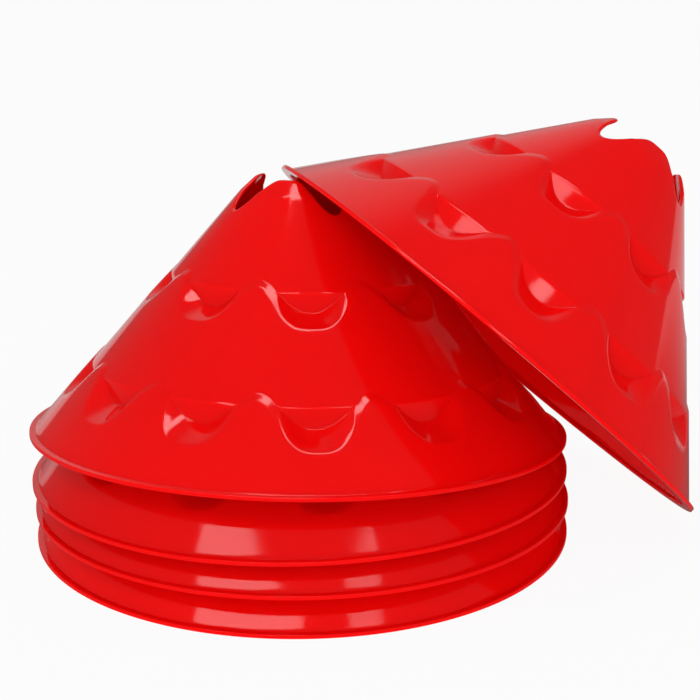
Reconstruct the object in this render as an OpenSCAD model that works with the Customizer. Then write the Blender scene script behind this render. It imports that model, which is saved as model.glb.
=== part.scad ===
// A set of five stepped marker cones: four nested in a stack and a fifth leaning on them.
// Each cone is one thin moulding. Its straight wall is broken by two rings of scalloped
// steps, and its open top ends in a crown of four rounded lobes. Millimetres, +Z up, with
// the origin on the floor under the middle of the set.

/* [Rim] */
// Outer diameter of a cone across its rim
base_d = 300; // [260:1:340]
// Radial width of the flat rim
rim_w = 6.4; // [5:0.1:9]
// Thickness of the flat rim
rim_t = 2.2; // [1.6:0.1:3]

/* [Wall] */
// Thickness of the moulded wall
wall_t = 2; // [1.4:0.1:2.2]
// Angle of the wall above the floor, in degrees
wall_angle = 50.4; // [48:0.1:53]
// How far the wall stands inside the rim's outer edge, at the floor
wall_set_in = 1.6; // [0.5:0.1:2]
// How far each tier of wall is set back from the tier below it
tier_step = 1.5; // [0.8:0.1:2.2]

/* [Lower steps] */
// Number of scallops in the lower ring of steps
lower_count = 12; // [8:4:16]
// Height at which the lower risers end and the next wall starts
lower_shelf_z = 38.3; // [35:0.1:41]
// Height of a lower riser at the middle of its scallop
lower_riser_h = 10.8; // [8:0.1:13]
// Height of the lower steps' edge at the bottom of a scallop
lower_trough_z = 20; // [17:0.1:23]
// Height of the lower steps' edge at a crest
lower_crest_z = 41.8; // [41.5:0.1:45]

/* [Upper steps] */
// Number of scallops in the upper ring of steps
upper_count = 8; // [4:4:12]
// Height at which the upper risers end and the next wall starts
upper_shelf_z = 89; // [84:0.1:92]
// Height of an upper riser at the middle of its scallop
upper_riser_h = 10.4; // [8:0.1:13]
// Height of the upper steps' edge at the bottom of a scallop
upper_trough_z = 73.6; // [69:0.1:75]
// Height of the upper steps' edge at a crest
upper_crest_z = 94.2; // [92.6:0.1:96]

/* [Crown] */
// Number of lobes round the open top
crown_count = 4; // [4:4:8]
// Height of the lobes' tops
crown_top_z = 143.7; // [142:0.1:150]
// Height of the notches between the lobes
crown_notch_z = 126.5; // [122:0.1:128]
// Height of the crease across each lobe
fold_z = 134.9; // [133:0.1:137]
// Angle of the wall above the crease, in degrees
fold_angle = 45; // [42:1:52]
// Turn of the lobes from the scallops' meridian, in degrees
crown_turn = -22.5; // [-30:0.5:-15]

/* [Stack] */
// Gap left between a cone's wall and the wall nested in it, along the radius
nest_gap = 0.45; // [0.4:0.05:1]
// Tilt back and sideways of the second cone on the bottom one, in degrees
second_tilt = [-1.3, -0.2]; // [-2:0.1:2]
// Tilt back and sideways of the third cone on the second, in degrees
third_tilt = [-0.6, -0.5]; // [-2:0.1:2]
// Tilt back and sideways of the top cone on the third, in degrees
top_tilt = [-4.3, 2]; // [-5:0.1:5]

/* [Leaning cone] */
// Tilt back of the cone that leans on the stack, in degrees
lean_back = -11.9; // [-20:0.1:0]
// How far its rim's middle stands to the right of the stack's, as a share of its radius
lean_out = 0.689; // [0.6:0.001:0.8]
// How far its rim's middle stands behind the stack's, as a share of its radius
lean_behind = 0.116; // [0.05:0.001:0.2]
// Gap left between its wall and the crown that it leans on, along the radius
lean_gap = 0.5; // [0.4:0.05:1]

/* [Hidden] */
red = [0.86, 0.04, 0.035];
// Sideways shifts of the nested cones on the ones beneath.
second_x = 0;
second_y = -base_d / 300;
third_x = -base_d / 250;
third_y = 0;
top_x = -base_d / 1000;
top_y = base_d / 600;
// The middle of the set, seen from above the stack's middle.
set_x = 0.111 * base_d;
set_y = 0.0223 * base_d;
// Turn of each cone about its own axis, in degrees.
bottom_turn = 5;
second_turn = 5;
third_turn = 6;
top_turn = 4;
lean_turn = 17.9;
// How sharply the scallops rise to their crests: powers of a share from none to one.
ridge_power = 1.7;
riser_power = 1.15;
crown_power = 2.3;
lip_r = base_d / 2 - wall_set_in;
slope = tan(wall_angle);
// The wall's columns, in degrees. They meet every trough and crest.
column_steps = [0, 5, 10, 15, 20, 22.5, 25, 30, 35, 40];
columns = [for (s = [0:7]) for (c = column_steps) 45 * s + c];

// Where the angle stands between a trough, 0, and a crest, 1, of count equal waves.
function share(angle, count) =
    let (half = 180 / count, past = angle + half)
    abs(past - 2 * half * floor(past / (2 * half)) - half) / half;

// A smooth rise from 0 to 1, later and steeper at a higher power.
function rise(s, power) = pow((1 - cos(180 * s)) / 2, power);

// Radius of the wall's outer face on tier 0, 1 or 2 at height z.
function wall_r(tier, z) = lip_r - tier * tier_step - z / slope;

// The three points of one step: its edge, the riser's foot and the riser's top.
function step_points(angle, tier, count, shelf, riser_h, trough, crest) =
    let (
        s = share(angle, count),
        edge = trough + (crest - trough) * rise(s, ridge_power),
        low = shelf - riser_h,
        foot = low + (crest + tier_step / 2 - low) * rise(s, riser_power),
        top = max(shelf, foot + wall_t / 4)
    )
    [
        [wall_r(tier, edge), edge],
        [min(wall_r(tier + 1, shelf), wall_r(tier + 1, foot)), foot],
        [wall_r(tier + 1, top), top]
    ];

// The two points of the crown: its crease and its edge.
function crown_points(angle) =
    let (
        s = share(angle - crown_turn, crown_count),
        edge = crown_top_z - (crown_top_z - crown_notch_z) * rise(s, crown_power),
        crease = min(fold_z, edge - wall_t),
        edge_r = edge > fold_z
            ? wall_r(2, fold_z) - (edge - fold_z) / tan(fold_angle)
            : wall_r(2, edge)
    )
    [[wall_r(2, crease), crease], [edge_r, edge]];

// The outer face at one angle, from the rim up, as radius and height.
function outer_face(angle) = concat(
    [[wall_r(0, rim_t / 2), rim_t / 2]],
    step_points(angle, 0, lower_count, lower_shelf_z, lower_riser_h, lower_trough_z, lower_crest_z),
    step_points(angle, 1, upper_count, upper_shelf_z, upper_riser_h, upper_trough_z, upper_crest_z),
    crown_points(angle)
);

function face_normal(a, b) = [b[1] - a[1], a[0] - b[0]] / norm(b - a);

// The inner face keeps the wall's thickness from both stretches that meet at a point.
function inner_point(face, i) =
    let (
        last = len(face) - 1,
        before = face_normal(face[max(i - 1, 0)], face[max(i, 1)]),
        after = face_normal(face[min(i, last - 1)], face[min(i + 1, last)]),
        edge_only = [1 / before[0], 0],
        mid = (before + after) / (1 + before * after)
    )
    face[i] - wall_t * (i == 0 || i == last ? edge_only : mid);

function inner_face(face) = [for (i = [0:len(face) - 1]) inner_point(face, i)];

// One closed loop round the wall's section: up the outer face and down the inner one.
function section(angle) =
    let (face = outer_face(angle), back = inner_face(face), n = len(face))
    concat(face, [for (i = [1:n]) back[n - i]]);

module wall_shell() {
    sections = [for (angle = columns) section(angle)];
    rows = len(sections[0]);
    count = len(columns);
    points = [
        for (c = [0:count - 1])
            for (p = sections[c])
                [p[0] * cos(columns[c]), p[0] * sin(columns[c]), p[1]]
    ];
    faces = [
        for (c = [0:count - 1])
            for (r = [0:rows - 1])
                let (
                    next = (c + 1) % count,
                    up = (r + 1) % rows,
                    a = c * rows + r,
                    b = next * rows + r,
                    d = next * rows + up,
                    e = c * rows + up
                )
                each [[a, d, b], [a, e, d]]
    ];
    polyhedron(points = points, faces = faces, convexity = 8);
}

module rim() {
    rotate_extrude()
        translate([base_d / 2 - rim_w, 0])
            square([rim_w, rim_t]);
}

module cone() {
    union() {
        wall_shell();
        rim();
    }
}

// A point tilted back by the first angle and then sideways by the second.
function tilted(p, tilt) =
    let (
        y = p[1] * cos(tilt[0]) - p[2] * sin(tilt[0]),
        z = p[1] * sin(tilt[0]) + p[2] * cos(tilt[0])
    )
    [p[0] * cos(tilt[1]) + z * sin(tilt[1]), y, z * cos(tilt[1]) - p[0] * sin(tilt[1])];

function untilted(p, tilt) =
    let (
        x = p[0] * cos(tilt[1]) - p[2] * sin(tilt[1]),
        z = p[0] * sin(tilt[1]) + p[2] * cos(tilt[1])
    )
    [x, p[1] * cos(tilt[0]) + z * sin(tilt[0]), z * cos(tilt[0]) - p[1] * sin(tilt[0])];

function around(point, angle) = [point[0] * cos(angle), point[0] * sin(angle), point[1]];

// The inner corners under the steps at a scallop's middle, which carry a nested cone.
lower_corner = inner_point(outer_face(0), 2);
upper_corner = inner_point(outer_face(0), 5);

// Height at which a corner, tilted and shifted, clears the wall beneath by the gap.
function corner_seat(corner, tier, shelf, tilt, x, y) = max([
    for (a = [0:10:350])
        let (
            p = tilted(around(corner, a), tilt),
            r = norm([p[0] + x, p[1] + y])
        )
        shelf - p[2] + slope * (wall_r(tier, shelf) + nest_gap - r)
]);

function seat_z(tilt, x, y) = max(
    corner_seat(lower_corner, 1, lower_shelf_z, tilt, x, y),
    corner_seat(upper_corner, 2, upper_shelf_z, tilt, x, y)
);

second_at = [second_x, second_y, seat_z(second_tilt, second_x, second_y)];
third_at = [third_x, third_y, seat_z(third_tilt, third_x, third_y)];
top_at = [top_x, top_y, seat_z(top_tilt, top_x, top_y)];

// The top cone's crown, seen from the stack's middle.
crown = [
    for (angle = columns)
        let (face = outer_face(angle), last = len(face) - 1)
        for (p = [face[last - 1], face[last], inner_point(face, last)])
            let (
                on_third = tilted(around(p, angle + top_turn), top_tilt) + top_at,
                on_second = tilted(on_third, third_tilt) + third_at
            )
            tilted(on_second, second_tilt) + second_at
];

// The leaning cone stands on the lowest point of its rim.
function lean_at(side) =
    base_d / 2 * [lean_out, lean_behind, sqrt(1 - pow(cos(lean_back) * cos(side), 2))];

// Least gap between its inner wall and the crown at a sideways tilt, along the radius.
function lean_clear(side) = min([
    for (c = crown)
        let (p = untilted(c - lean_at(side), [lean_back, side]))
        p[2] < 0 ? base_d : wall_r(0, p[2]) - wall_t / sin(wall_angle) - norm([p[0], p[1]])
]);

// The sideways tilt at which the gap is right, found by halving the range.
function lean_side(low, high, rounds) =
    let (side = (low + high) / 2)
    rounds == 0
        ? side
        : lean_clear(side) < lean_gap
            ? lean_side(side, high, rounds - 1)
            : lean_side(low, side, rounds - 1);

lean_tilt = [lean_back, lean_side(20, 70, 20)];

module on_the_floor() {
    translate([-set_x, -set_y, 0])
        children();
}

module seated(tilt, at) {
    translate(at)
        rotate([tilt[0], tilt[1], 0])
            children();
}

module on_bottom() {
    on_the_floor()
        seated(second_tilt, second_at)
            children();
}

module on_second() {
    on_bottom()
        seated(third_tilt, third_at)
            children();
}

module on_third() {
    on_second()
        seated(top_tilt, top_at)
            children();
}

module leaning() {
    on_the_floor()
        seated(lean_tilt, lean_at(lean_tilt[1]))
            children();
}

module bottom_cone() {
    color(red)
        on_the_floor()
            rotate(bottom_turn)
                cone();
}

module lower_middle_cone() {
    color(red)
        on_bottom()
            rotate(second_turn)
                cone();
}

module upper_middle_cone() {
    color(red)
        on_second()
            rotate(third_turn)
                cone();
}

module top_cone() {
    color(red)
        on_third()
            rotate(top_turn)
                cone();
}

module leaning_cone() {
    color(red)
        leaning()
            rotate(lean_turn)
                cone();
}

bottom_cone();
lower_middle_cone();
upper_middle_cone();
top_cone();
leaning_cone();
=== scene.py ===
# %% [markdown]
# # A stack of stepped marker cones
#
# The object is a set of five equal marker cones: four nested in a stack, and a fifth that
# leans on them. Each cone is one thin, soft, glossy red moulding. Its wall is broken by two
# rings of scalloped steps, and its open top is cut into a crown of four lobes.
#
# The shape follows a rule, so one Geometry Nodes tree makes the cone from its sizes, and the
# same tree makes all five. We start from the packed CAD model, which holds each cone as a
# plain solid in its place.

# %% Start from the packed model
import math

import bpy
from mathutils import Euler, Matrix, Vector


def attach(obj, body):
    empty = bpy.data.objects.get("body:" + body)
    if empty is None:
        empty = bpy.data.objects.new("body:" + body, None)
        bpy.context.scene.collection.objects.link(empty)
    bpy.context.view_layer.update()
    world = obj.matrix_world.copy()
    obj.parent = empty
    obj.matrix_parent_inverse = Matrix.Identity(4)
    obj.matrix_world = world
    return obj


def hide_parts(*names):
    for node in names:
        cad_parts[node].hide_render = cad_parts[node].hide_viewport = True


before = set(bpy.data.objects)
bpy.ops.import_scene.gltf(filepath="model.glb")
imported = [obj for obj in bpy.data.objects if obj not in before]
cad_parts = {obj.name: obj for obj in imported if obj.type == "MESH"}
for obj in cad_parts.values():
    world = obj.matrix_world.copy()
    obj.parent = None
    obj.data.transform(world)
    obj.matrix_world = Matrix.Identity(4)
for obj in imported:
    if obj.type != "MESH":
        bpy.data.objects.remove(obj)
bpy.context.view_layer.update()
scene = bpy.context.scene
MM = 0.001
print("CAD nodes:", ", ".join(sorted(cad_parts)))

# %% [markdown]
# ## Numbers that nodes work out
#
# A rule with forty steps is hard to read as a page of Math nodes. This small class writes
# the nodes for us: adding or multiplying two of its values in Python places a Math node and
# links it. The tree that comes out is an ordinary one that can be opened and changed.


# %% A value in a node tree
class Field:
    """A number inside a node tree. Sums written with it become Math nodes."""

    def __init__(self, tree, socket):
        self.tree = tree
        self.socket = socket

    def math(self, operation, *others):
        node = self.tree.nodes.new("ShaderNodeMath")
        node.operation = operation
        for place, value in enumerate((self, *others)):
            if isinstance(value, Field):
                self.tree.links.new(value.socket, node.inputs[place])
            else:
                node.inputs[place].default_value = value
        return Field(self.tree, node.outputs[0])

    def __add__(self, other):
        return self.math("ADD", other)

    def __sub__(self, other):
        return self.math("SUBTRACT", other)

    def __mul__(self, other):
        return self.math("MULTIPLY", other)

    def __truediv__(self, other):
        return self.math("DIVIDE", other)

    def __neg__(self):
        return self.math("MULTIPLY", -1.0)

    def taken_from(self, number):
        """The number minus this value."""
        return self.math("MULTIPLY_ADD", -1.0, number)

    def clamped(self):
        """This value kept between 0 and 1."""
        same = self.math("ADD", 0.0)
        same.socket.node.use_clamp = True
        return same

    def soft_min(self, other, blend):
        return self.math("SMOOTH_MIN", other, blend)

    def soft_max(self, other, blend):
        return self.math("SMOOTH_MAX", other, blend)


def polyline(where, values):
    """Goes through the values in turn as where goes 0, 1, 2 and so on."""
    total = values[0]
    for k in range(len(values) - 1):
        total = total + (where - float(k)).clamped() * (values[k + 1] - values[k])
    return total


print("a Field can do:", ", ".join(name for name in vars(Field) if name[0] != "_"))

# %% [markdown]
# ## The sizes
#
# A real cone of this kind is 30 cm wide and nearly 15 cm high. Its wall is straight and
# stands on a flat ring. It steps in by 1.5 mm at each ring of scallops, and the top of each
# lobe is folded inwards along a crease. We could model one such cone by hand, but then each
# size would be spread over hundreds of points. Here every size becomes an input of the tree.

# %% Sizes of one cone, in metres and radians
SIZES = {
    "Rim diameter": 300 * MM,
    "Rim width": 6.4 * MM,
    "Rim thickness": 2.2 * MM,
    "Wall thickness": 2 * MM,
    "Wall angle": math.radians(50.4),
    "Wall set in": 1.6 * MM,
    "Tier step": 1.5 * MM,
    "Crest ledge": 2.8 * MM,
    "Lower count": 12,
    "Lower shelf": 38.6 * MM,
    "Lower riser": 10.8 * MM,
    "Lower trough": 20.0 * MM,
    "Lower crest": 41.8 * MM,
    "Upper count": 8,
    "Upper shelf": 89.4 * MM,
    "Upper riser": 10.4 * MM,
    "Upper trough": 73.6 * MM,
    "Upper crest": 92.0 * MM,
    "Crown count": 4,
    "Crown top": 143.7 * MM,
    "Crown notch": 126.5 * MM,
    "Crease height": 134.9 * MM,
    "Crease angle": math.radians(43),
    "Crown turn": math.radians(-22.5),
    "Edge round": 1.6 * MM,
    "Shelf round": 0.2 * MM,
    "Foot round": 0.3 * MM,
    "Lip depth": 1.2 * MM,
    "Lip length": 2.8 * MM,
}
print("sizes:", len(SIZES))

# %% [markdown]
# ## The rule of the cone
#
# At any angle the outer face is a chain of straight stretches: wall, tread, riser, wall,
# tread, riser, wall, and the part above the crease. Their corners go up and down with the
# angle in waves, 12 for the lower steps, 8 for the upper ones and 4 for the crown. A power
# above 1 makes the top of a wave narrower than its bottom, as on the real scallops. The
# corners of a soft moulding are round, so the stretches meet through Smooth Minimum and
# Smooth Maximum instead of at a hard edge.

# %% The rule, as fields
RIDGE_POWER, RISER_POWER, CROWN_POWER = 1.7, 1.18, 2.3
CREASE_BLEND = 0.15 * MM
CREST_SHARPNESS = 0.75  # share of an edge's rounding that is gone on a crest


def wave(angle, count, power):
    """0 in a trough and 1 on a crest, with count waves round the cone."""
    half = (count * 0.0 + math.pi) / count
    share = angle.math("PINGPONG", half) / half
    return ((share * math.pi).math("COSINE").taken_from(1.0) / 2.0).math("POWER", power)


def step_heights(angle, s, name):
    """Heights of a step's edge, of its riser's foot and of its riser's top."""
    shelf, crest, trough = s[name + " shelf"], s[name + " crest"], s[name + " trough"]
    edge = trough + (crest - trough) * wave(angle, s[name + " count"], RIDGE_POWER)
    low = shelf - s[name + " riser"]
    rise = crest + s["Crest ledge"] - low
    foot = low + rise * wave(angle, s[name + " count"], RISER_POWER)
    top = shelf.math("MAXIMUM", foot + s["Wall thickness"] / 4.0)
    return edge, foot, top


def wall_line(tier, height, s):
    """Radius of the straight wall of tier 0, 1 or 2 at a height."""
    lip = s["Rim diameter"] / 2.0 - s["Wall set in"] - s["Tier step"] * float(tier)
    return lip - height / s["slope"]


def tread_line(tier, edge, foot, height, s, name):
    """Radius of the sloping tread between a step's edge and its riser's foot."""
    start = wall_line(tier, edge, s)
    riser = wall_line(tier + 1, s[name + " shelf"], s)
    end = riser.math("MINIMUM", wall_line(tier + 1, foot, s))
    return start + (height - edge) * (end - start) / (foot - edge)


def wall_radius(height, lower, upper, s):
    """Radius of the whole outer face at a height."""
    past_crease = (height - s["Crease height"]) / s["crease slope"]
    slant = wall_line(2, s["Crease height"], s) - past_crease
    top = wall_line(2, height, s).soft_min(slant, CREASE_BLEND)
    for tier, name, (edge, foot, _) in ((1, "Upper", upper), (0, "Lower", lower)):
        tread = tread_line(tier, edge, foot, height, s, name)
        trough, crest = s[name + " trough"], s[name + " crest"]
        rounding = (edge - trough) / (crest - trough) * -CREST_SHARPNESS + 1.0
        below = wall_line(tier, height, s).soft_min(tread, s["Edge round"] * rounding)
        riser = wall_line(tier + 1, s[name + " shelf"], s)
        above = riser.soft_min(top, s["Shelf round"])
        top = below.soft_max(above, s["Foot round"])
    return top


print("waves round the cone:", [SIZES[k + " count"] for k in ("Lower", "Upper", "Crown")])

# %% [markdown]
# ## A grid with the right topology
#
# A moulding has no seam and no loose face. We could spin a section round an axis, but here
# the section changes with the angle. A flat grid can do it: its columns go round the cone,
# and its rows go once round the wall's section: rim, outer face, lip, inner face. Its last
# row and column fall on the first ones and are merged. The rows bunch up at the corners,
# because that is where the wall bends.

# %% The tree's inputs and its grid
COLUMNS = 480
STRETCHES = 8  # straight stretches of the wall, from the rim to the lip
RIM_ROWS = 14
OUTER_ROWS = 9  # rows for each stretch of the outer face
LIP_ROWS = (6, 3)  # rows of the lip's outer quarter and of its inner one
INNER_ROWS = 6  # rows for each stretch of the inner face
LIP_START = RIM_ROWS + STRETCHES * OUTER_ROWS
LIP_END = LIP_START + sum(LIP_ROWS)
ROWS = LIP_END + 1 + STRETCHES * INNER_ROWS


def add_inputs(tree):
    """Gives the tree its named sockets. Returns the input node, and the sizes as fields."""
    face = tree.interface
    for side in ("INPUT", "OUTPUT"):
        face.new_socket("Geometry", in_out=side, socket_type="NodeSocketGeometry")
    for name, value in SIZES.items():
        socket = face.new_socket(name, in_out="INPUT", socket_type="NodeSocketFloat")
        socket.default_value = value
    kinds = {"Turn": "Float", "Place": "Vector", "Tilt": "Rotation", "Material": "Material"}
    for name, kind in kinds.items():
        face.new_socket(name, in_out="INPUT", socket_type="NodeSocket" + kind)
    given = tree.nodes.new("NodeGroupInput")
    s = {name: Field(tree, given.outputs[name]) for name in SIZES}
    s["slope"] = s["Wall angle"].math("TANGENT")
    s["crease slope"] = s["Crease angle"].math("TANGENT")
    return given, s


def add_grid(tree):
    """A flat grid, a metre wide. Returns it with the angle and the row of each point."""
    grid = tree.nodes.new("GeometryNodeMeshGrid")
    for socket, value in zip(grid.inputs, (1.0, 1.0, COLUMNS + 1, ROWS + 1)):
        socket.default_value = value
    spot = tree.nodes.new("GeometryNodeInputPosition")
    split = tree.nodes.new("ShaderNodeSeparateXYZ")
    tree.links.new(spot.outputs[0], split.inputs[0])
    angle = (Field(tree, split.outputs["X"]) + 0.5) * (2 * math.pi)
    row = ((Field(tree, split.outputs["Y"]) + 0.5) * float(ROWS)).math("ROUND")
    return grid, angle, row


def row_heights(row, corners):
    """Height of each row: up the outer face to the lip, and down the inner face."""
    up = (row - float(RIM_ROWS)) / float(OUTER_ROWS)
    down = (row - float(LIP_END)) / float(INNER_ROWS)
    up = up.math("MAXIMUM", 0.0).math("MINIMUM", float(STRETCHES))
    way = up - down.math("MAXIMUM", 0.0)
    height = corners[0]
    for k in range(STRETCHES):
        part = (way - float(k)).clamped()
        eased = (part * math.pi).math("COSINE").taken_from(1.0) / 2.0
        height = height + eased * (corners[k + 1] - corners[k])
    return height


print("grid:", COLUMNS, "columns and", ROWS, "rows")

# %% [markdown]
# ## Lip and inner face
#
# The real wall is equally thick everywhere, steps included. Solidify would give it that
# thickness too, but not the round lip of the crown. So the inner face is the outer one moved
# along its own normal by the wall's thickness, and we get that normal from the radius a
# little above and a little below. The lip turns over in two quarters of an ellipse, a wide
# outer one and a small inner one.

# %% Lip and inner face, as fields
NEAR = 0.05 * MM  # how far above and below the radius is read
LIP_RISE = 0.74  # the lip's height, as a share of its length


def crown_heights(angle, s):
    """Heights of the crease and of the crown's edge under its round lip."""
    notch = wave(angle - s["Crown turn"], s["Crown count"], CROWN_POWER)
    drop = (s["Crown top"] - s["Crown notch"]) * notch
    edge = s["Crown top"] - drop - s["Lip length"] * LIP_RISE
    crease = s["Crease height"].math("MINIMUM", edge - s["Wall thickness"])
    return crease, edge


def wall_direction(height, lower, upper, s):
    """Which way the outer face runs at a height: its parts outwards and upwards."""
    above = wall_radius(height + NEAR, lower, upper, s)
    run = above - wall_radius(height - NEAR, lower, upper, s)
    size = (run * run + (2 * NEAR) ** 2).math("SQRT")
    return run / size, (size * 0.0 + 2 * NEAR) / size


def lip_place(row, s):
    """How deep under the outer face a row lies, and how far ahead along it."""
    inner_start = float(LIP_START + LIP_ROWS[0])
    outer_turn = ((row - float(LIP_START)) / float(LIP_ROWS[0])).clamped() * (math.pi / 2)
    inner_turn = ((row - inner_start) / float(LIP_ROWS[1])).clamped() * (math.pi / 2)
    inside = s["Wall thickness"] - s["Lip depth"]
    depth = s["Lip depth"] * outer_turn.math("COSINE").taken_from(1.0)
    depth = depth + inside * inner_turn.math("SINE")
    ahead = s["Lip length"] * outer_turn.math("SINE")
    ahead = ahead - inside * inner_turn.math("COSINE").taken_from(1.0)
    return depth, ahead * row.math("LESS_THAN", LIP_END + 0.5)


print("lip:", SIZES["Lip depth"] / MM, "by", SIZES["Lip length"] / MM, "mm")

# %% [markdown]
# ## The rim
#
# Each cone ends in a flat ring, which stiffens it and lets it stand. Its section is a small
# rectangle with softened edges, and a fillet leads up to the wall. A Bevel could soften the
# edges, but the ring is part of the same grid, so its rows get their places from a list.

# %% The rim, as fields
RIM_EDGE = 0.25 * MM  # how far a softened edge reaches
RIM_ARC = 0.07 * MM  # how far the middle of that edge lies in from the sharp corner
HOLE_SLANT = 0.08 * MM  # at the top of the ring's inner side
HOLE_SIDE = (0.82, 0.6)  # heights on that side, as shares of the ring's thickness
FILLET = ((0.3 * MM, 0.0), (0.1 * MM, 0.05 * MM), (-0.1 * MM, 0.2 * MM))  # out, up
FILLET_TOP = 1.2 * MM  # where the wall's own rows start, above the ring


def rim_outline(s):
    """Radius and height of each row of the rim, from its inner side round to the wall."""
    ring, thick = s["Rim diameter"] / 2.0, s["Rim thickness"]
    hole, floor = ring - s["Rim width"], thick * 0.0
    foot = wall_line(0, thick, s)
    return [
        (hole + HOLE_SLANT, thick * HOLE_SIDE[0]),
        (hole, thick * HOLE_SIDE[1]),
        (hole, floor + RIM_EDGE),
        (hole + RIM_ARC, floor + RIM_ARC),
        (hole + RIM_EDGE, floor),
        (ring - RIM_EDGE, floor),
        (ring - RIM_ARC, floor + RIM_ARC),
        (ring, floor + RIM_EDGE),
        (ring, thick - RIM_EDGE),
        (ring - RIM_ARC, thick - RIM_ARC),
        (ring - RIM_EDGE, thick),
        *((foot + out, thick + up) for out, up in FILLET),
    ]


def add_rim(row, wall_r, wall_z, s):
    """Takes the rim's rows from its outline, and the others from the wall."""
    # Row 0 and the last row are one, so the section closes.
    on_rim = row.math("LESS_THAN", RIM_ROWS - 0.5) + row.math("GREATER_THAN", ROWS - 0.5)
    at = row * row.math("LESS_THAN", ROWS - 0.5)
    rim_r, rim_z = zip(*rim_outline(s))
    r = wall_r + on_rim * (polyline(at, rim_r) - wall_r)
    z = wall_z + on_rim * (polyline(at, rim_z) - wall_z)
    return r, z


print("rim:", SIZES["Rim width"] / MM, "by", SIZES["Rim thickness"] / MM, "mm")

# %% [markdown]
# ## The tree
#
# Now the parts come together. Set Position moves each point of the grid to its radius,
# angle and height, and Merge by Distance closes the seams. Transform Geometry then sets the
# cone in its place, because a finished object should sit at the origin, unturned. Realize
# Instances and Set Material end the tree, so that all of it is exported.

# %% Build the tree
WELD = 0.002 * MM  # points nearer than this become one


def finish_tree(tree, grid, joined, given):
    """Moves the grid's points, closes its seams, and places the cone."""
    move = tree.nodes.new("GeometryNodeSetPosition")
    weld = tree.nodes.new("GeometryNodeMergeByDistance")
    weld.inputs["Distance"].default_value = WELD
    smooth = tree.nodes.new("GeometryNodeSetShadeSmooth")
    place = tree.nodes.new("GeometryNodeTransform")
    real = tree.nodes.new("GeometryNodeRealizeInstances")
    paint = tree.nodes.new("GeometryNodeSetMaterial")
    out = tree.nodes.new("NodeGroupOutput")
    tree.links.new(joined.outputs[0], move.inputs["Position"])
    tree.links.new(given.outputs["Place"], place.inputs["Translation"])
    tree.links.new(given.outputs["Tilt"], place.inputs["Rotation"])
    tree.links.new(given.outputs["Material"], paint.inputs["Material"])
    chain = [grid, move, weld, smooth, place, real, paint, out]
    for a, b in zip(chain, chain[1:]):
        tree.links.new(a.outputs[0], b.inputs[0])
    return tree


def cone_tree():
    """The whole tree of one cone."""
    tree = bpy.data.node_groups.new("stepped cone", "GeometryNodeTree")
    tree.is_modifier = True
    given, s = add_inputs(tree)
    grid, angle, row = add_grid(tree)
    lower = step_heights(angle, s, "Lower")
    upper = step_heights(angle, s, "Upper")
    start = s["Rim thickness"] + FILLET_TOP
    height = row_heights(row, [start, *lower, *upper, *crown_heights(angle, s)])
    radius = wall_radius(height, lower, upper, s)
    along_r, along_z = wall_direction(height, lower, upper, s)
    # The outward normal is the wall's direction turned by a right angle.
    out_r, out_z = along_z, -along_r
    depth, ahead = lip_place(row, s)
    wall_r = radius - out_r * depth + along_r * ahead
    wall_z = height - out_z * depth + along_z * ahead
    r, z = add_rim(row, wall_r, wall_z, s)
    turn = angle + Field(tree, given.outputs["Turn"])
    joined = tree.nodes.new("ShaderNodeCombineXYZ")
    for value, socket in zip((r * turn.math("COSINE"), r * turn.math("SINE"), z), joined.inputs):
        tree.links.new(value.socket, socket)
    return finish_tree(tree, grid, joined, given)


cone_nodes = cone_tree()
print("nodes in the tree:", len(cone_nodes.nodes))

# %% [markdown]
# ## Soft glossy plastic
#
# The cones are low-density polyethylene, coloured red all through. It is glossy but a
# little uneven, and light goes a few millimetres into it, red further than green or blue.
# So the shade under a rim is never black, and a step's edge looks soft. A plain red surface
# would look like paint, so Subsurface does this here. A large noise varies the tone and the
# roughness a little, and a very fine bump keeps the highlights from looking like glass.

# %% Red plastic
RED = (0.82, 0.0020, 0.0022, 1)
LIGHT_RED = (0.85, 0.0026, 0.0027, 1)
ROUGHNESS = (0.05, 0.09)


def red_plastic():
    """Glossy red plastic that lets light in a little."""
    mat = bpy.data.materials.new("red plastic")
    mat.use_nodes = True
    nodes, links = mat.node_tree.nodes, mat.node_tree.links
    shader = nodes["Principled BSDF"]
    shader.inputs["IOR"].default_value = 1.45
    shader.inputs["Subsurface Weight"].default_value = 1.0
    shader.inputs["Subsurface Radius"].default_value = (1.0, 0.1, 0.1)
    shader.inputs["Subsurface Scale"].default_value = 2.5 * MM
    place = nodes.new("ShaderNodeTexCoord")
    cloud = nodes.new("ShaderNodeTexNoise")
    cloud.inputs["Scale"].default_value = 24.0
    cloud.inputs["Detail"].default_value = 3.0
    links.new(place.outputs["Object"], cloud.inputs["Vector"])
    tone = nodes.new("ShaderNodeMix")
    tone.data_type = "RGBA"
    tone.inputs["A"].default_value = RED
    tone.inputs["B"].default_value = LIGHT_RED
    links.new(cloud.outputs["Fac"], tone.inputs["Factor"])
    links.new(tone.outputs["Result"], shader.inputs["Base Color"])
    gloss = nodes.new("ShaderNodeMapRange")
    gloss.inputs["From Min"].default_value = 0.3
    gloss.inputs["From Max"].default_value = 0.7
    gloss.inputs["To Min"].default_value = ROUGHNESS[0]
    gloss.inputs["To Max"].default_value = ROUGHNESS[1]
    links.new(cloud.outputs["Fac"], gloss.inputs["Value"])
    links.new(gloss.outputs["Result"], shader.inputs["Roughness"])
    grain = nodes.new("ShaderNodeTexNoise")
    grain.inputs["Scale"].default_value = 900.0
    grain.inputs["Detail"].default_value = 2.0
    links.new(place.outputs["Object"], grain.inputs["Vector"])
    bump = nodes.new("ShaderNodeBump")
    bump.inputs["Strength"].default_value = 0.05
    bump.inputs["Distance"].default_value = 0.2 * MM
    links.new(grain.outputs["Fac"], bump.inputs["Height"])
    links.new(bump.outputs["Normal"], shader.inputs["Normal"])
    return mat


plastic = red_plastic()
print("material:", plastic.name)

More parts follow.
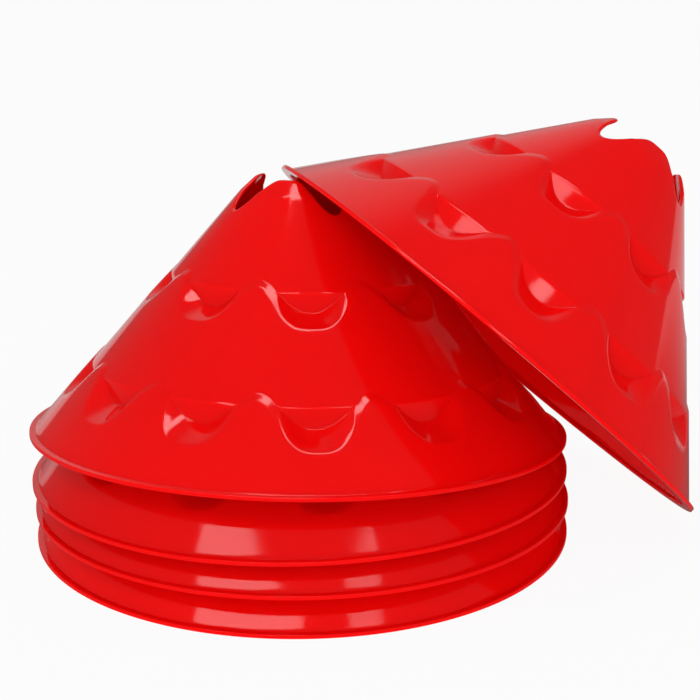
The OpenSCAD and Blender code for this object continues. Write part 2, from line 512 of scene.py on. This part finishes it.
# %% [markdown]
# ## Five places
#
# Real nested cones don't sit quite straight: each is a little tilted and shifted on the one
# beneath, and the leaning one stands on its rim's edge. The CAD works the places out from
# the gaps between the cones, and its results stand here as numbers. We could write all five
# in the set's own frame, but then a change low in the stack would touch all above it.
# Multiplying the matrices in the stack's order does that for us.

# %% Places of the cones, in millimetres and degrees
STACK_MIDDLE = Vector((-33.3, -6.69, 0))
LEAN_TILT = (-11.9, 41.797)
RIM_RADIUS = 150


def seated(base, tilt, shift):
    """A place on another cone, by its tilts about X and Y and its shift."""
    turn = Euler([math.radians(a) for a in (*tilt, 0)], "XYZ").to_matrix().to_4x4()
    return base @ Matrix.Translation(Vector(shift)) @ turn


bottom = Matrix.Translation(STACK_MIDDLE)
second = seated(bottom, (-1.3, -0.2), (0, -1, 18.16))
third = seated(second, (-0.6, -0.5), (-1.2, 0, 16.46))
top = seated(third, (-4.3, 2), (-0.3, 0.5, 21.98))
# The lowest point of a tilted ring is on the floor, so its middle rises with the tilt.
upright = math.cos(math.radians(LEAN_TILT[0])) * math.cos(math.radians(LEAN_TILT[1]))
lean_height = RIM_RADIUS * math.sqrt(1 - upright**2)
leaning = seated(bottom, LEAN_TILT, (103.35, 17.4, lean_height))

# Each cone's place, and how far it is turned about its own axis.
PLACES = {
    "bottom_cone": (bottom, 5),
    "lower_middle_cone": (second, 5),
    "upper_middle_cone": (third, 6),
    "top_cone": (top, 4),
    "leaning_cone": (leaning, 17.9),
}
for name, (matrix, _) in PLACES.items():
    print(name, [round(v, 1) for v in matrix.translation])

# %% [markdown]
# ## Five cones
#
# Each real cone can be lifted off by itself, so each is a piece of its own that rides on its
# own body and takes the place of the CAD's cone. We could leave the tree on it as a live
# modifier, but a plain mesh is safer to export. So a helper object wears the tree, its
# inputs are set by their identifiers before it is first evaluated, and the mesh that comes
# out goes to the finished object.


# %% Make the cones
def set_input(modifier, name, value):
    """Sets an input of the tree by its identifier."""
    for item in modifier.node_group.interface.items_tree:
        if item.name == name and item.in_out == "INPUT":
            modifier[item.identifier] = value


def make_cone(name, matrix, turn):
    """One cone as a plain mesh, with its place in the mesh."""
    holder = bpy.data.objects.new(name + "_holder", bpy.data.meshes.new(name + "_holder"))
    scene.collection.objects.link(holder)
    modifier = holder.modifiers.new("stepped cone", "NODES")
    modifier.node_group = cone_nodes
    set_input(modifier, "Turn", math.radians(turn))
    set_input(modifier, "Place", [v * MM for v in matrix.translation])
    set_input(modifier, "Tilt", list(matrix.to_euler("XYZ")))
    set_input(modifier, "Material", plastic)
    depsgraph = bpy.context.evaluated_depsgraph_get()
    mesh = bpy.data.meshes.new_from_object(holder.evaluated_get(depsgraph))
    bpy.data.objects.remove(holder)
    mesh.name = name + "_shell"
    cone = bpy.data.objects.new(name + "_shell", mesh)
    scene.collection.objects.link(cone)
    return cone


for name, (matrix, turn) in PLACES.items():
    cone = make_cone(name, matrix, turn)
    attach(cone, name)
    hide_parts(name)
    print(cone.name, "faces:", len(cone.data.polygons))

# %% [markdown]
# ## Camera
#
# The photograph was taken from a little above, a metre in front of the stack, with a long
# lens. It looks slightly to the right of the stack's middle. We could place a camera by eye,
# but this place and lens were fitted to the rims and outlines of all five cones at once.

# %% Camera
FRAME_WIDTH, FOCAL_LENGTH = 700, 1885.8  # pixels
DISTANCE, HEIGHT = 1000, 421.2  # millimetres
YAW, PITCH, ROLL = 0.027, 0.308, 0.002  # radians

camera_data = bpy.data.cameras.new("camera")
camera_data.sensor_width = 36.0
camera_data.lens = FOCAL_LENGTH / FRAME_WIDTH * camera_data.sensor_width
camera = bpy.data.objects.new("camera", camera_data)
scene.collection.objects.link(camera)
camera.location = Vector((STACK_MIDDLE.x, STACK_MIDDLE.y - DISTANCE, HEIGHT)) * MM
aim = Matrix.Rotation(-YAW, 4, "Z") @ Matrix.Rotation(math.pi / 2 - PITCH, 4, "X")
aim = aim @ Matrix.Rotation(-ROLL, 4, "Z")
camera.rotation_euler = aim.to_euler()
scene.camera = camera
print("lens:", round(camera_data.lens, 1), "mm")

# %% [markdown]
# ## Floor
#
# The cones stand on white. We could light a matt floor until it is pure white, but that
# would burn out the cones. So most of the floor glows by itself, and Light Path says how
# much for each kind of ray. To the camera it is nearly pure white, and the matt rest of it
# keeps a faint shadow. To light that bounces it is a bright studio floor. In the gloss it is
# dim in front of the cones and beside them, so that their red stays deep, and brighter
# behind them.

# %% Floor
FLOOR_DROP = 0.2 * MM  # keeps the floor clear of the rims
# For each kind of ray, the share of the floor that glows, and how brightly.
FLOOR_GLOW = {
    "Is Camera Ray": (0.93, 1.0),
    "Is Transmission Ray": (0.93, 1.0),
    "Is Diffuse Ray": (0.8, 1.35),
    "Is Glossy Ray": (0.9, "behind"),
}
BEHIND_GLOW = (0.08, 0.6)  # at the set's middle, and 0.3 m behind it
BEHIND_REACH = 0.3
SIDE_FADE = 0.45  # how fast the brighter part narrows to its sides

floor_mesh = bpy.data.meshes.new("floor")
floor_mesh.from_pydata([(-6, -6, 0), (6, -6, 0), (6, 6, 0), (-6, 6, 0)], [], [(0, 1, 2, 3)])
floor = bpy.data.objects.new("floor", floor_mesh)
floor.location.z = -FLOOR_DROP
scene.collection.objects.link(floor)


def glow_behind(tree):
    """The glow in the gloss, by the place on the floor."""
    place = tree.nodes.new("ShaderNodeTexCoord")
    split = tree.nodes.new("ShaderNodeSeparateXYZ")
    tree.links.new(place.outputs["Object"], split.inputs[0])
    aside = Field(tree, split.outputs["X"]).math("ABSOLUTE")
    back = Field(tree, split.outputs["Y"]) - aside * SIDE_FADE
    level = tree.nodes.new("ShaderNodeMapRange")
    level.inputs["From Max"].default_value = BEHIND_REACH
    level.inputs["To Min"].default_value = BEHIND_GLOW[0]
    level.inputs["To Max"].default_value = BEHIND_GLOW[1]
    tree.links.new(back.socket, level.inputs["Value"])
    return level.outputs["Result"]


def floor_finish():
    """A matt white floor, most of which glows by the kind of ray that meets it."""
    mat = bpy.data.materials.new("white floor")
    mat.use_nodes = True
    tree = mat.node_tree
    nodes, links = tree.nodes, tree.links
    nodes.clear()
    path = nodes.new("ShaderNodeLightPath")
    matt = nodes.new("ShaderNodeBsdfDiffuse")
    matt.inputs["Color"].default_value = (0.8, 0.8, 0.8, 1)
    last = matt.outputs[0]
    for ray, (share, level) in FLOOR_GLOW.items():
        glow = nodes.new("ShaderNodeEmission")
        if level == "behind":
            links.new(glow_behind(tree), glow.inputs["Strength"])
        else:
            glow.inputs["Strength"].default_value = level
        mix = nodes.new("ShaderNodeMixShader")
        links.new((Field(tree, path.outputs[ray]) * share).socket, mix.inputs[0])
        links.new(last, mix.inputs[1])
        links.new(glow.outputs[0], mix.inputs[2])
        last = mix.outputs[0]
    out = nodes.new("ShaderNodeOutputMaterial")
    links.new(last, out.inputs["Surface"])
    return mat


floor_mesh.materials.append(floor_finish())
print("the floor glows for:", ", ".join(FLOOR_GLOW))

# %% [markdown]
# ## World
#
# In the photograph even the slots between the nested cones are bright, so its light comes
# mostly from low in front. More lamps could give it, but each would show in the gloss, so
# the world does, with less light from the other sides. In the gloss an even white room would
# turn the red pink all over. So glossy rays see a dim one that is paler only behind and
# above the stack. Camera and transmission rays see plain white.

# %% World
# Each one: the direction that it is bright in, where the change starts, as the cosine of
# the angle from there, and how strong it is when dim and when bright.
FRONT_LIGHT = ((-0.2, -0.8, -0.3), -0.3, 0.26, 1.36)
ROOM_IN_GLOSS = ((0, 0.88, 0.47), 0.8, 0.13, 0.52)
WHITE = (1, 1, 1, 1)


def toward(tree, direction, start, dim, bright):
    """White that goes from dim to bright as a ray turns toward a direction."""
    nodes, links = tree.nodes, tree.links
    view = nodes.new("ShaderNodeTexCoord")
    dot = nodes.new("ShaderNodeVectorMath")
    dot.operation = "DOT_PRODUCT"
    dot.inputs[1].default_value = Vector(direction).normalized()
    links.new(view.outputs["Generated"], dot.inputs[0])
    level = nodes.new("ShaderNodeMapRange")
    level.interpolation_type = "SMOOTHSTEP"
    level.inputs["From Min"].default_value = start
    level.inputs["To Min"].default_value = dim
    level.inputs["To Max"].default_value = bright
    links.new(dot.outputs["Value"], level.inputs["Value"])
    room = nodes.new("ShaderNodeBackground")
    room.inputs["Color"].default_value = WHITE
    links.new(level.outputs["Result"], room.inputs["Strength"])
    return room.outputs[0]


def studio_world():
    """Light from the front, a dim room in the gloss, and white for the camera itself."""
    world = bpy.data.worlds.new("studio")
    world.use_nodes = True
    tree = world.node_tree
    nodes, links = tree.nodes, tree.links
    nodes.clear()
    path = nodes.new("ShaderNodeLightPath")
    plain = nodes.new("ShaderNodeBackground")
    plain.inputs["Color"].default_value = WHITE
    seen = {
        "Is Glossy Ray": toward(tree, *ROOM_IN_GLOSS),
        "Is Transmission Ray": plain.outputs[0],
        "Is Camera Ray": plain.outputs[0],
    }
    light = toward(tree, *FRONT_LIGHT)
    for ray, part in seen.items():
        mix = nodes.new("ShaderNodeMixShader")
        links.new(path.outputs[ray], mix.inputs[0])
        links.new(light, mix.inputs[1])
        links.new(part, mix.inputs[2])
        light = mix.outputs[0]
    out = nodes.new("ShaderNodeOutputWorld")
    links.new(light, out.inputs["Surface"])
    return world


scene.world = studio_world()
print("world:", scene.world.name)

# %% [markdown]
# ## Lamps
#
# A glossy object shows its lamps. In the photograph bright rectangles lie low on the walls,
# and thin lines of light run along the steps' edges. Point lamps would leave dots
# there, so these are area lamps. Where each one hangs follows from the surface's slope at
# its reflection. The two front boxes make the rectangles, the long strip and the small box
# overhead make the thin lines, and the box near the camera fills the fronts.

# %% Lamps
LAMP_TARGET = STACK_MIDDLE * MM + Vector((0, -0.1, 0.05))
# Azimuth and elevation in degrees, where azimuth 0 is the camera's side. Then distance,
# width and height in metres, power in watts, and how far the lamp is moved to the right.
SOFT_BOXES = {
    "front_left_box": (-31, 50.3, 3, 2.0, 0.66, 13, 0),
    "front_right_box": (34, 52, 3, 0.6, 0.42, 1.8, 0),
    "camera_side_box": (3, 20, 3, 0.8, 0.44, 4.6, 0),
    "top_strip": (180, 86, 2, 1.6, 0.27, 7.2, 0.2),
    "top_box": (0, 86.8, 2, 0.6, 0.22, 2.2, -0.1),
}


def soft_box(name, azimuth, elevation, distance, width, height, power, aside):
    """A rectangular lamp that faces the stack."""
    data = bpy.data.lights.new(name, "AREA")
    data.shape = "RECTANGLE"
    data.size, data.size_y = width, height
    data.energy = power
    lamp = bpy.data.objects.new(name, data)
    a, e = math.radians(azimuth), math.radians(elevation)
    away = Vector((math.sin(a) * math.cos(e), -math.cos(a) * math.cos(e), math.sin(e)))
    lamp.location = LAMP_TARGET + away * distance
    lamp.location.x += aside
    lamp.rotation_euler = away.to_track_quat("Z", "Y").to_euler()
    scene.collection.objects.link(lamp)


for name, settings in SOFT_BOXES.items():
    soft_box(name, *settings)
print("lamps:", ", ".join(SOFT_BOXES))

# %% [markdown]
# ## Finish
#
# The Standard view keeps the red as it is written.

# %% Finish
scene.view_settings.view_transform = "Standard"
